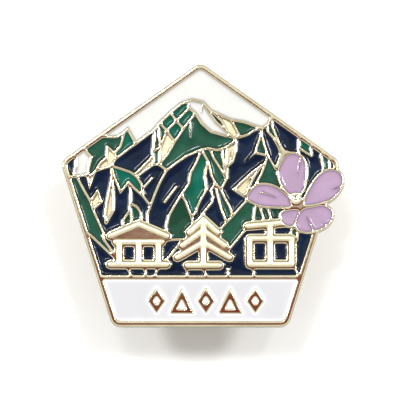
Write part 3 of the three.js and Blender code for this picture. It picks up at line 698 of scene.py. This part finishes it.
# %% Bend the wings
WING_HALF = (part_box("wing_upper_left")[1].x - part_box("wing_upper_left")[0].x) / 2 / MM
WING_SHEET = 0.26
BEAD_HEIGHT = 0.07
wing_path = eased([
    (0.72, -1.9), (2.3, -1.9), (3.15, -2.5), (3.95, -4.1), (4.8, -6.2), (5.55, -6.88)], spacing=0.09, width=0.22)


def wing(name, centre, turn):
    """Points (w x half width, path y, path z), where the half width falls as sqrt(1 - u^4) to a rounded tip.

    A bead exp(-(w / 0.3)^2) stands along the middle of the tab and stiffens it.
    """
    along = np.linspace(0, 1, len(wing_path))[:, None]
    across = np.linspace(-1, 1, 25)[None]
    tip = np.clip((along - 0.72) / 0.28, 0, 1)
    half = (WING_HALF - 0.02) * (1 - 0.34 * (1 - np.sqrt(np.maximum(1 - tip**4, 0.0))))
    jaw = np.clip(1 - along / 0.2, 0, 1)
    x = across * half * (1 - 0.12 * jaw)
    bead_share = np.clip((along - 0.45) / 0.1, 0, 1) * np.clip((0.9 - along) / 0.1, 0, 1)
    bead = BEAD_HEIGHT * np.exp(-((across / 0.3) ** 2)) * bead_share
    slope = np.gradient(wing_path, axis=0)
    slope /= np.linalg.norm(slope, axis=1, keepdims=True)
    y = wing_path[:, :1] - bead * slope[:, 1:2]
    z = wing_path[:, 1:] + bead * slope[:, :1]
    grid = np.stack(np.broadcast_arrays(x, y, z), axis=-1)
    grid = grid * [turn, turn, 1] + [*centre, 0]
    quads = grid_faces(len(wing_path), across.size, wrap=False)[:, ::-1]
    return sheet_metal(name, grid.reshape(-1, 3), quads, WING_SHEET)


for side, centre in POST_CENTRES.items():
    for place, turn in (("upper", 1), ("lower", -1)):
        body = f"wing_{place}_{side}"
        spring = wing(f"{body}_spring", centre, turn)
        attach(spring, body)
        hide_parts(body)
        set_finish(spring, "clutch_brass")
print("wings", round(2 * WING_HALF, 2), "mm wide")

# %% [markdown]
# Materials could be clicked together in the shader editor, but a few helpers make them readable
# as text. Each helper adds one node, or a short chain, and hands back what the next one needs.

# %% Helpers for shader nodes
def new_group(name, inputs, outputs):
    """An empty node group with float inputs (name: value) and the named float outputs."""
    tree = bpy.data.node_groups.new(name, "ShaderNodeTree")
    for label, value in inputs.items():
        tree.interface.new_socket(label, in_out="INPUT", socket_type="NodeSocketFloat").default_value = value
    for label in outputs:
        tree.interface.new_socket(label, in_out="OUTPUT", socket_type="NodeSocketFloat")
    return tree, tree.nodes.new("NodeGroupInput"), tree.nodes.new("NodeGroupOutput")


def node(tree, kind, settings=None, **inputs):
    """A node with its settings, and with each input either linked from a socket or given a value.

    An input is named with _ for a space, or as _0, _1 and so on for its number.
    """
    made = tree.nodes.new("ShaderNode" + kind)
    for label, value in (settings or {}).items():
        setattr(made, label, value)
    for label, value in inputs.items():
        key = int(label[1:]) if label[0] == "_" else label.replace("_", " ")
        if isinstance(value, bpy.types.NodeSocket):
            tree.links.new(value, made.inputs[key])
        else:
            made.inputs[key].default_value = value
    return made


def placed(tree, group, **inputs):
    """A node that holds the group, with its inputs set."""
    return node(tree, "Group", {"node_tree": group}, **inputs)


def combine(tree, base, *terms):
    """base + weight x value for each (value socket, weight) pair."""
    total = base
    for value, weight in terms:
        total = node(tree, "Math", {"operation": "MULTIPLY_ADD"}, _0=value, _1=weight, _2=total).outputs[0]
    return total


def new_material(name):
    """A material with its Principled shader, ready for nodes."""
    material = bpy.data.materials.new(name)
    material.use_nodes = True
    return material, material.node_tree, material.node_tree.nodes["Principled BSDF"]


def millimetres(tree):
    """Object coordinates in millimetres."""
    place = node(tree, "TexCoord")
    return node(tree, "VectorMath", {"operation": "SCALE"}, _0=place.outputs["Object"], Scale=1 / MM).outputs[0]


print("patterns are measured in steps of", MM, "m")

# %% [markdown]
# Two effects serve every finish here. Cast, poured and stamped surfaces are never quite
# even, so one group gives slow drift and fine grain. The other gives the hairline scratches
# and dull spots that handling leaves. Each is a node group, placed with its own values.

# %% Node groups for unevenness and handling
def unevenness_group():
    """Drift = slow noise about 0, Grain = fine noise about 0, both from -1 to 1; sizes in millimetres."""
    tree, given, result = new_group("unevenness", {"Drift Size": 3.0, "Grain Size": 0.1}, ("Drift", "Grain"))
    place = millimetres(tree)
    for label, detail in (("Drift", 2.0), ("Grain", 3.0)):
        scale = node(tree, "Math", {"operation": "DIVIDE"}, _0=1.0, _1=given.outputs[label + " Size"])
        noise = node(tree, "TexNoise", Vector=place, Scale=scale.outputs[0], Detail=detail)
        spread = node(tree, "MapRange", Value=noise.outputs["Fac"], From_Min=0.3, From_Max=0.7, To_Min=-1.0)
        tree.links.new(spread.outputs[0], result.inputs[label])
    return tree


def handling_group():
    """Scratches: thin bands of two stretched noises, where they cross a level. Dull: patches of worn polish."""
    tree, given, result = new_group("handling", {"Amount": 1.0}, ("Scratches", "Dull"))
    place = millimetres(tree)
    lines = []
    for turn in (0.5, 2.2):
        stretch = node(tree, "Mapping", Vector=place, Rotation=(0, 0, turn), Scale=(0.35, 5.0, 1.0))
        noise = node(tree, "TexNoise", Vector=stretch.outputs[0], Scale=1.0, Detail=1.0)
        level = node(tree, "Math", {"operation": "SUBTRACT"}, _0=noise.outputs["Fac"], _1=0.5)
        gap = node(tree, "Math", {"operation": "ABSOLUTE"}, _0=level.outputs[0])
        lines.append(node(tree, "MapRange", Value=gap.outputs[0], From_Max=0.012, To_Min=1.0, To_Max=0.0))
    both = node(tree, "Math", {"operation": "MAXIMUM"}, _0=lines[0].outputs[0], _1=lines[1].outputs[0])
    patches = node(tree, "TexNoise", Vector=place, Scale=0.45, Detail=3.0)
    spread = node(tree, "MapRange", Value=patches.outputs["Fac"], From_Min=0.45, From_Max=0.65)
    for label, source in (("Scratches", both), ("Dull", spread)):
        scaled = node(tree, "Math", {"operation": "MULTIPLY"}, _0=source.outputs[0], _1=given.outputs["Amount"])
        tree.links.new(scaled.outputs[0], result.inputs[label])
    return tree


UNEVENNESS = unevenness_group()
HANDLING = handling_group()
print("node groups:", [tree.name for tree in bpy.data.node_groups])

# %% [markdown]
# Both metals are plated or polished brass. High places are rubbed bright, while the struck
# floors, the sides and the back keep the grain of the die and are painted darker: partly the
# matt grain, partly painted shade for the shadowed table that they mirror. Height above the
# back tells the two apart. Steep faces are mixed towards a painted shade colour as well.

# %% Metal finishes
# Painted shade colour that steep faces are mixed towards.
STEEP_SHADE_COLOUR = (0.24, 0.20, 0.11)


def metal(name, bright, dull_and_shaded, roughness, grain, polished_from, satin_from, tarnish):
    """Polished metal: colour from bright to dull, roughness and bump from the groups.

    It is grainy and darker below polished_from, partly the die's matt grain and partly painted
    shade, and satin above satin_from (both in millimetres of height, as from and to). Where it
    stands steep, the last share mixes in a painted shade colour for the dark reflection of the
    shadowed table.
    """
    material, tree, shader = new_material(name)
    uneven = placed(tree, UNEVENNESS, Drift_Size=2.4, Grain_Size=0.07)
    worn = placed(tree, HANDLING, Amount=1.0)
    height = node(tree, "SeparateXYZ", _0=millimetres(tree)).outputs["Z"]
    low = node(tree, "MapRange", Value=height, From_Min=polished_from[0], From_Max=polished_from[1],
               To_Min=1.0, To_Max=0.0)
    satin = node(tree, "MapRange", Value=height, From_Min=satin_from[0], From_Max=satin_from[1])
    # The low term darkens low faces: partly the die's matt grain, partly painted shade.
    shade = combine(tree, 0.15, (uneven.outputs["Drift"], 0.12), (worn.outputs["Dull"], 0.25), (low.outputs[0], 0.3))
    colour = node(tree, "Mix", {"data_type": "RGBA"}, Factor=shade)
    colour.inputs[6].default_value = (*bright, 1)
    colour.inputs[7].default_value = (*dull_and_shaded, 1)
    # Painted shade: steep faces are mixed towards a dark olive, standing in for the shadowed table that they mirror.
    upright = node(tree, "SeparateXYZ", _0=node(tree, "NewGeometry").outputs["Normal"]).outputs["Z"]
    steep = node(tree, "MapRange", Value=upright, From_Min=0.3, From_Max=0.8, To_Min=tarnish, To_Max=0.0)
    tarnished = node(tree, "Mix", {"data_type": "RGBA"}, Factor=steep.outputs[0])
    tree.links.new(colour.outputs[2], tarnished.inputs[6])
    tarnished.inputs[7].default_value = (*STEEP_SHADE_COLOUR, 1)
    tree.links.new(tarnished.outputs[2], shader.inputs["Base Color"])
    rough = combine(tree, roughness, (uneven.outputs["Drift"], 0.015), (worn.outputs["Dull"], 0.03),
                    (worn.outputs["Scratches"], 0.03), (low.outputs[0], 0.2), (satin.outputs[0], 0.3))
    tree.links.new(rough, shader.inputs["Roughness"])
    depth = node(tree, "Math", {"operation": "MULTIPLY_ADD"}, _0=low.outputs[0], _1=grain * 5, _2=grain).outputs[0]
    grainy = node(tree, "Math", {"operation": "MULTIPLY"}, _0=uneven.outputs["Grain"], _1=depth).outputs[0]
    heights = combine(tree, grainy, (uneven.outputs["Drift"], 0.003), (worn.outputs["Scratches"], -0.0003))
    bump = node(tree, "Bump", Height=heights, Distance=MM, Strength=1.0)
    tree.links.new(bump.outputs[0], shader.inputs["Normal"])
    shader.inputs["Metallic"].default_value = 1.0
    return material


gold = metal(
    "gold_plating", bright=(0.88, 0.83, 0.60), dull_and_shaded=(0.58, 0.50, 0.32), roughness=0.07, grain=0.00012,
    polished_from=(1.30, 1.46), satin_from=(1.62, 1.68), tarnish=0.8)
brass = metal(
    "clutch_brass", bright=(0.93, 0.80, 0.50), dull_and_shaded=(0.72, 0.56, 0.30), roughness=0.24, grain=0.0004,
    polished_from=(-9.0, -8.0), satin_from=(1.0, 2.0), tarnish=0.0)
print("metals:", gold.name, "and", brass.name)

# %% [markdown]
# Soft enamel is pigment in clear resin, baked hard. It is glossy, and its colour drifts a
# little with depth. Where it climbs a wall, each finish is mixed towards a wall colour by the
# attribute that the pours carry: painted shade on the dark enamels, the lilac and the white, for
# the dark reflection and soft shadow along the lines, and a painted highlight on the pale band.
# Colours are given as the eye sees them, in sRGB hex, and turned into linear light.

# %% Enamel finishes
def linear(hex_colour):
    """sRGB hex to linear light: ((c + 0.055) / 1.055)^2.4, or c / 12.92 near black."""
    c = np.array([int(hex_colour[i:i + 2], 16) for i in (0, 2, 4)]) / 255
    return np.where(c <= 0.04045, c / 12.92, ((c + 0.055) / 1.055) ** 2.4)


ENAMEL_ROUGHNESS = 0.06
SPECULAR_LEVEL = 0.22


def enamel(name, hex_colour, painted_wall_colour, drift, painted_wall_share=0.8):
    """Baked enamel: a deeper to a paler tone by drift, a glossy skin, and a painted wall colour where it climbs a
    wall. That colour is painted shade where it is darker and a painted highlight where it is paler.
    """
    material, tree, shader = new_material(name)
    base, wall = linear(hex_colour), linear(painted_wall_colour)
    uneven = placed(tree, UNEVENNESS, Drift_Size=2.0, Grain_Size=0.16)
    worn = placed(tree, HANDLING, Amount=1.0)
    shade = combine(tree, 0.5, (uneven.outputs["Drift"], 0.4), (uneven.outputs["Grain"], 0.12))
    colour = node(tree, "Mix", {"data_type": "RGBA"}, Factor=shade)
    colour.inputs[6].default_value = (*np.clip(base * (1 - drift), 0, 1), 1)
    colour.inputs[7].default_value = (*np.clip(base * (1 + drift), 0, 1), 1)
    # Painted light at the walls: towards a darker wall colour it is painted shade, towards a paler one a painted
    # highlight.
    near = node(tree, "Attribute", {"attribute_name": "wall_nearness"}).outputs["Fac"]
    share = node(tree, "Math", {"operation": "MULTIPLY"}, _0=near, _1=painted_wall_share).outputs[0]
    wall_painted = node(tree, "Mix", {"data_type": "RGBA"}, Factor=share)
    tree.links.new(colour.outputs[2], wall_painted.inputs[6])
    wall_painted.inputs[7].default_value = (*wall, 1)
    tree.links.new(wall_painted.outputs[2], shader.inputs["Base Color"])
    rough = combine(tree, ENAMEL_ROUGHNESS, (uneven.outputs["Drift"], 0.01), (worn.outputs["Scratches"], 0.03))
    tree.links.new(rough, shader.inputs["Roughness"])
    heights = combine(tree, 0.0, (uneven.outputs["Drift"], 0.006), (uneven.outputs["Grain"], 0.0004))
    bump = node(tree, "Bump", Height=heights, Distance=MM, Strength=1.0)
    tree.links.new(bump.outputs[0], shader.inputs["Normal"])
    shader.inputs["IOR"].default_value = 1.5
    shader.inputs["Specular IOR Level"].default_value = SPECULAR_LEVEL
    return material


FINISHES = {
    "gold_plating": gold,
    "clutch_brass": brass,
    # Each second colour is painted at the walls: painted shade on the navy, greens, teal, lilac and white, a painted
    # highlight on the band.
    "enamel_navy": enamel("enamel_navy", "0b1b31", "020408", 0.42),
    "enamel_deep_green": enamel("enamel_deep_green", "1f4b3b", "04100b", 0.32),
    "enamel_shade_green": enamel("enamel_shade_green", "1b4030", "040c08", 0.25),
    "enamel_teal": enamel("enamel_teal", "0b5847", "03130d", 0.30),
    "enamel_lilac": enamel("enamel_lilac", "a78fa9", "75597e", 0.08),
    "enamel_white": enamel("enamel_white", "d2d3d0", "8a837e", 0.03),
    "enamel_band": enamel("enamel_band", "c6c6ca", "f6f4f4", 0.02, 1.0),
}
made_pieces = [thing for thing in bpy.context.scene.objects if thing.type == "MESH" and "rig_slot" in thing]
for piece in made_pieces:
    piece.data.materials.clear()
    piece.data.materials.append(FINISHES[piece["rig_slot"]])
print(len(FINISHES), "finishes on", len(made_pieces), "pieces")

# %% [markdown]
# The pin lies on a pale table in a bright room. Polished gold shows whatever it faces, and
# what hangs over a table is dark, so the world is white with one dark warm patch overhead.
# That patch is what turns flat gold brown while every rounded edge stays bright.

# %% World
PATCH_CENTRE = -3.4
PATCH_HALF = (14.0, 11.7)
PATCH_EDGE = 1.6
PATCH_POWER = 4.0
PATCH_COLOUR = (0.235, 0.058, 0.044, 1)
ROOM_COLOUR = (0.95, 0.95, 0.925, 1)
HORIZON_COLOUR = (0.25, 0.24, 0.20, 1)


def room_world():
    """White but for a rounded patch of directions near the zenith: |x / a|^4 + |y / b|^4 < 1, in degrees of lean."""
    world = bpy.data.worlds.new("room")
    world.use_nodes = True
    tree = world.node_tree
    way = node(tree, "SeparateXYZ", _0=node(tree, "TexCoord").outputs["Generated"])
    shares = []
    for axis, centre, half in (("X", 0.0, PATCH_HALF[0]), ("Y", PATCH_CENTRE, PATCH_HALF[1])):
        lean = node(tree, "Math", {"operation": "ARCTAN2"}, _0=way.outputs[axis], _1=way.outputs["Z"])
        lean = node(tree, "Math", {"operation": "SUBTRACT"}, _0=lean.outputs[0], _1=math.radians(centre))
        share = node(tree, "Math", {"operation": "DIVIDE"}, _0=lean.outputs[0], _1=math.radians(half))
        size = node(tree, "Math", {"operation": "ABSOLUTE"}, _0=share.outputs[0])
        shares.append(node(tree, "Math", {"operation": "POWER"}, _0=size.outputs[0], _1=PATCH_POWER).outputs[0])
    reach = node(tree, "Math", {"operation": "ADD"}, _0=shares[0], _1=shares[1]).outputs[0]
    inner = (1 - PATCH_EDGE / PATCH_HALF[1]) ** PATCH_POWER
    outer = (1 + PATCH_EDGE / PATCH_HALF[1]) ** PATCH_POWER
    clear = node(tree, "MapRange", Value=reach, From_Min=inner, From_Max=outer)
    colour = node(tree, "Mix", {"data_type": "RGBA"}, Factor=clear.outputs[0])
    colour.inputs[6].default_value = PATCH_COLOUR
    lift = node(tree, "MapRange", Value=way.outputs["Z"], From_Min=0.1, From_Max=0.8)
    room = node(tree, "Mix", {"data_type": "RGBA"}, Factor=lift.outputs[0])
    room.inputs[6].default_value = HORIZON_COLOUR
    room.inputs[7].default_value = ROOM_COLOUR
    tree.links.new(room.outputs[2], colour.inputs[7])
    background = tree.nodes["Background"]
    tree.links.new(colour.outputs[2], background.inputs["Color"])
    background.inputs["Strength"].default_value = 1.0
    return world


bpy.context.scene.world = room_world()
bpy.context.scene.view_settings.view_transform = "Standard"
print("dark patch", PATCH_HALF, "degrees each way")

# %% [markdown]
# The clutches keep the plate a few millimetres off the table, so its shadow is soft and lies
# to either side. A wide sheet of pale paper is enough for a table.

# %% Table
TABLE_HALF = 1.5
PAPER_TONE = 0.93


def table_top():
    """A wide pale sheet that touches the lowest point of the clutches."""
    level = min(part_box(name)[0].z for name in NODES)
    mesh = bpy.data.meshes.new("table")
    corners = [(x * TABLE_HALF, y * TABLE_HALF, level) for x, y in ((-1, -1), (1, -1), (1, 1), (-1, 1))]
    mesh.from_pydata(corners, [], [(0, 1, 2, 3)])
    top = bpy.data.objects.new("table", mesh)
    bpy.context.scene.collection.objects.link(top)
    material, tree, shader = new_material("table_paper")
    uneven = placed(tree, UNEVENNESS, Drift_Size=40.0, Grain_Size=0.6)
    tone = combine(tree, PAPER_TONE, (uneven.outputs["Drift"], 0.01), (uneven.outputs["Grain"], 0.006))
    colour = node(tree, "CombineColor", Red=tone, Green=tone, Blue=tone)
    tree.links.new(colour.outputs[0], shader.inputs["Base Color"])
    shader.inputs["Roughness"].default_value = 0.7
    mesh.materials.append(material)
    return level


print("table at", round(table_top() / MM, 2), "mm")

# %% [markdown]
# Two broad lights from the sides throw the shadows. A narrow window and a small lamp behind
# the pin draw the thin bright streaks along the enamel. The camera stands almost straight above.

# %% Lights and camera
CAMERA_TILT = math.radians(8.5)


def softbox(name, place, size, watts):
    """A rectangular light at a place in metres that faces the pin."""
    light = bpy.data.lights.new(name, "AREA")
    light.shape = "RECTANGLE"
    light.size, light.size_y = size
    light.energy = watts
    lamp = bpy.data.objects.new(name, light)
    lamp.location = place
    lamp.rotation_euler = (-Vector(place)).to_track_quat("-Z", "Y").to_euler()
    bpy.context.scene.collection.objects.link(lamp)


softbox("window", (-0.10, 0.20, 0.56), (0.12, 0.022), 0.5)
softbox("lamp", (0.16, 0.14, 0.52), (0.03, 0.05), 0.3)
softbox("left_diffuser", (-0.34, 0.12, 0.42), (0.10, 0.10), 1.15)
softbox("right_diffuser", (0.36, 0.12, 0.42), (0.10, 0.10), 1.3)

camera = bpy.data.objects.new("camera", bpy.data.cameras.new("camera"))
camera.data.lens = 162
camera.data.sensor_width = 36
camera.data.clip_start = 0.01
camera.location = (-0.00004, -0.02595, 0.17972)
camera.rotation_euler = (CAMERA_TILT, 0, 0)
bpy.context.scene.collection.objects.link(camera)
bpy.context.scene.camera = camera
print("camera", round(camera.location.length / MM), "mm from the pin")
